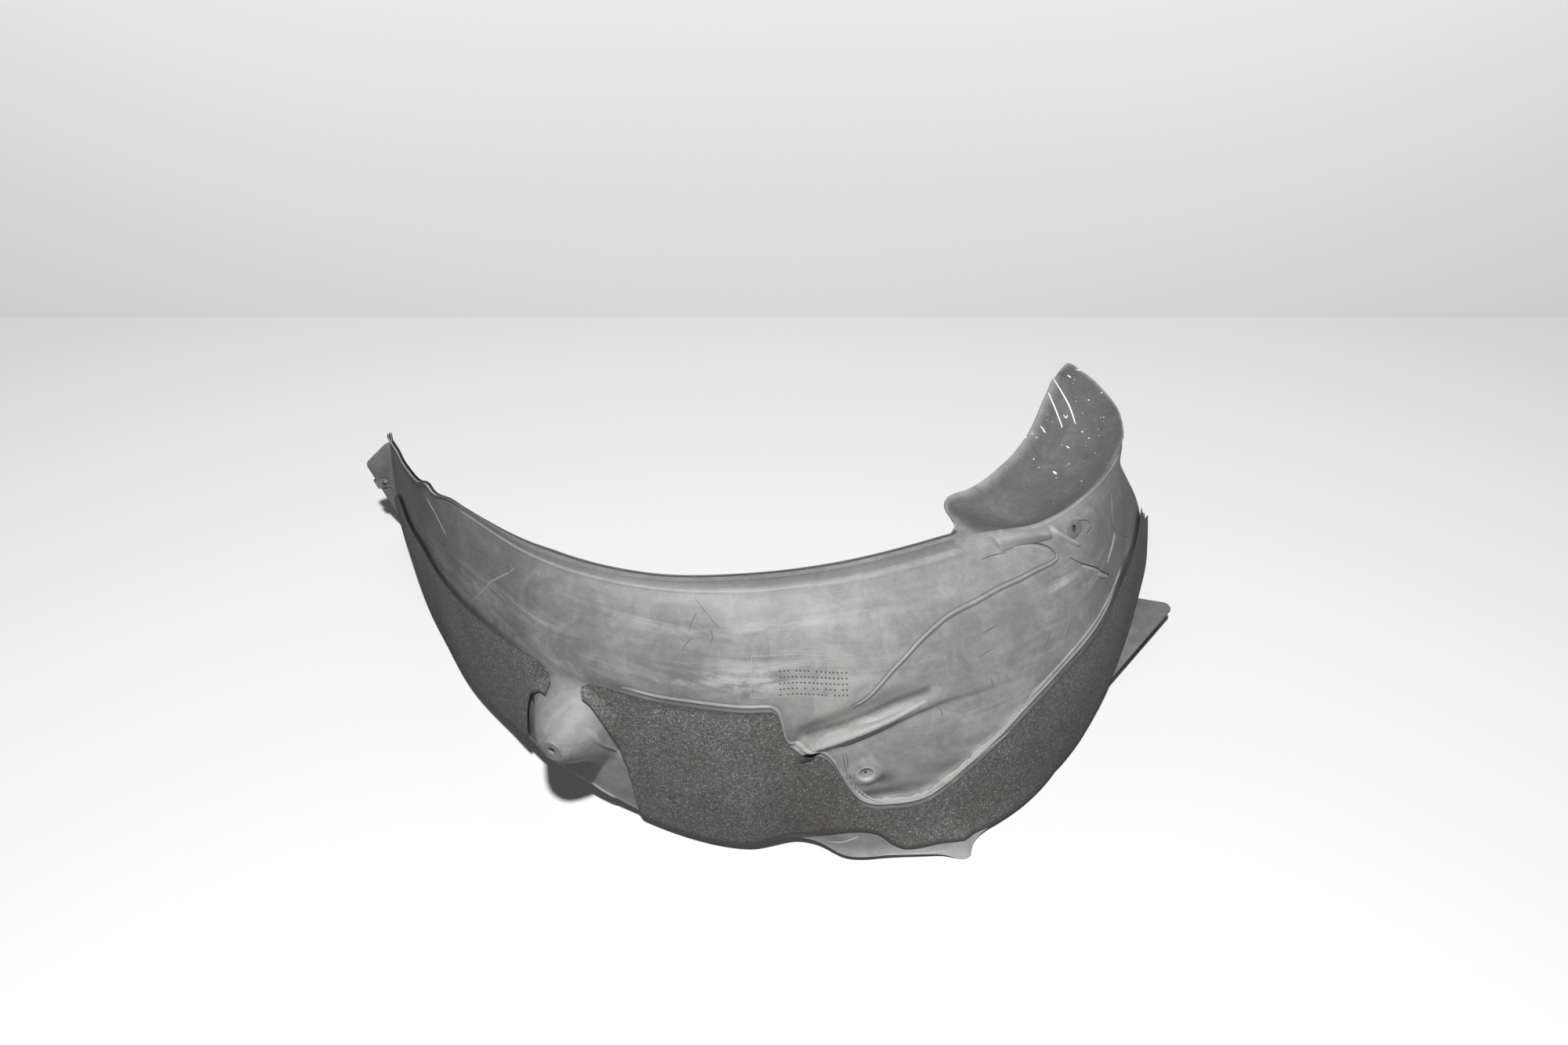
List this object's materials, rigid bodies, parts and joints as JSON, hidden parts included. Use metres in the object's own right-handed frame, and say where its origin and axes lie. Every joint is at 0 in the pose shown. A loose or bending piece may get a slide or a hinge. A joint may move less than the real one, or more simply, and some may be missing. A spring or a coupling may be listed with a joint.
{
  "type": "wheel arch liner",
  "caption": "Moulded inner wing liner: a curved tread wall with a rolled side wall, screw boss, pressed rib, end flange and bonded felt pads, resting on its outer edge.",
  "frame": {"origin": "middle of the bounding box in plan, on the surface the liner lies on", "axes": "+Z along the wheel axis from the wing side to the body side; +X from the short end towards the long end; the crown of the arch faces -Y"},
  "size_m": [0.8963, 0.5132, 0.267],
  "materials": {
    "shell": "weathered moulded polypropylene, faded grey",
    "felt": "needled felt with pale fibres",
    "clip": "zinc-plated, lightly rusted"
  },
  "bodies": {
    "root": {"liner_shell": "shell", "felt_pad_long": "felt", "felt_pad_short": "felt", "speed_nut": "clip"}
  },
  "joints": []
}
